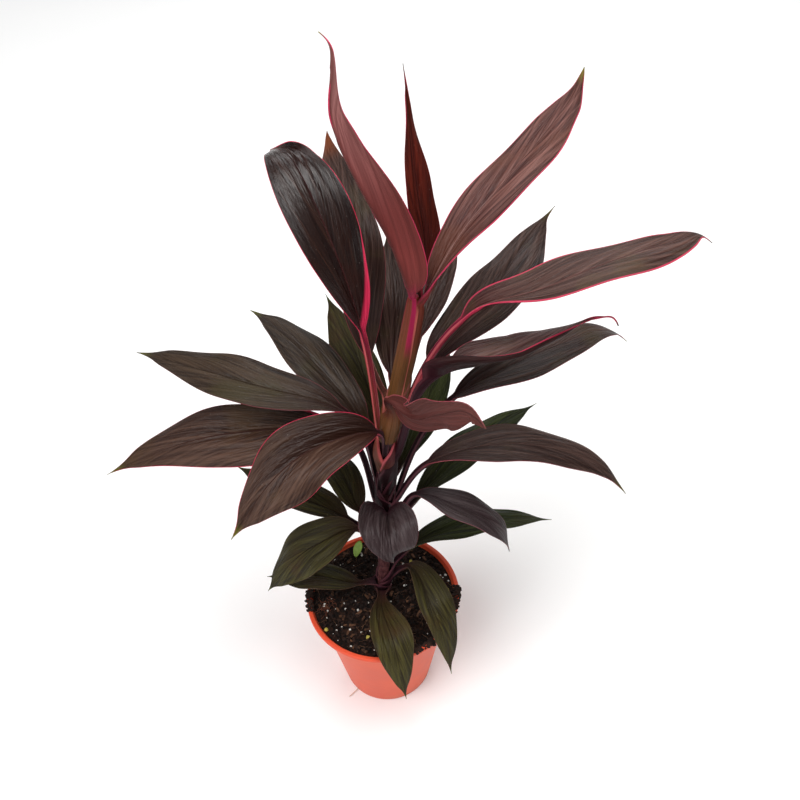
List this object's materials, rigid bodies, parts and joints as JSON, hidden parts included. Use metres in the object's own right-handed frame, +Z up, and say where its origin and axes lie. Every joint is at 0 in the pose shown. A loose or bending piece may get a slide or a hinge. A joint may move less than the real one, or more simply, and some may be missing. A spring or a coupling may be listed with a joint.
{
  "type": "potted ti plant",
  "caption": "Young ti plant with broad arching dark purple leaves edged in magenta, on one cane in a round terracotta-coloured plastic nursery pot.",
  "frame": {"origin": "centre of the pot's flat underside", "axes": "+Z up along the pot's axis; +X to the right as seen from the front; -Y to the front"},
  "size_m": [0.3927, 0.2118, 0.529],
  "materials": {
    "pot_plastic": "satin moulded terracotta-coloured plastic",
    "peat": "loose damp peat with white grains",
    "cane": "smooth, wrapped in leaf bases",
    "leaf_red_edged": "glossy, magenta edges",
    "leaf_purple": "glossy",
    "leaf_green": "glossy"
  },
  "bodies": {
    "root": {"pot": "pot_plastic", "peat": "peat", "cane": "cane", "leaf_01": "leaf_green", "leaf_02": "leaf_green", "leaf_03": "leaf_green", "leaf_04": "leaf_green", "leaf_05": "leaf_green", "leaf_06": "leaf_green", "leaf_07": "leaf_green", "leaf_08": "leaf_green", "leaf_09": "leaf_purple", "leaf_10": "leaf_purple", "leaf_11": "leaf_purple", "leaf_12": "leaf_red_edged", "leaf_13": "leaf_purple", "leaf_14": "leaf_red_edged", "leaf_15": "leaf_green", "leaf_16": "leaf_purple", "leaf_17": "leaf_purple", "leaf_18": "leaf_green", "leaf_19": "leaf_purple", "leaf_20": "leaf_red_edged", "leaf_21": "leaf_red_edged", "leaf_22": "leaf_red_edged", "leaf_23": "leaf_red_edged", "leaf_24": "leaf_purple", "leaf_25": "leaf_purple", "leaf_26": "leaf_purple", "leaf_27": "leaf_red_edged", "leaf_28": "leaf_red_edged", "leaf_29": "leaf_red_edged"}
  },
  "joints": []
}
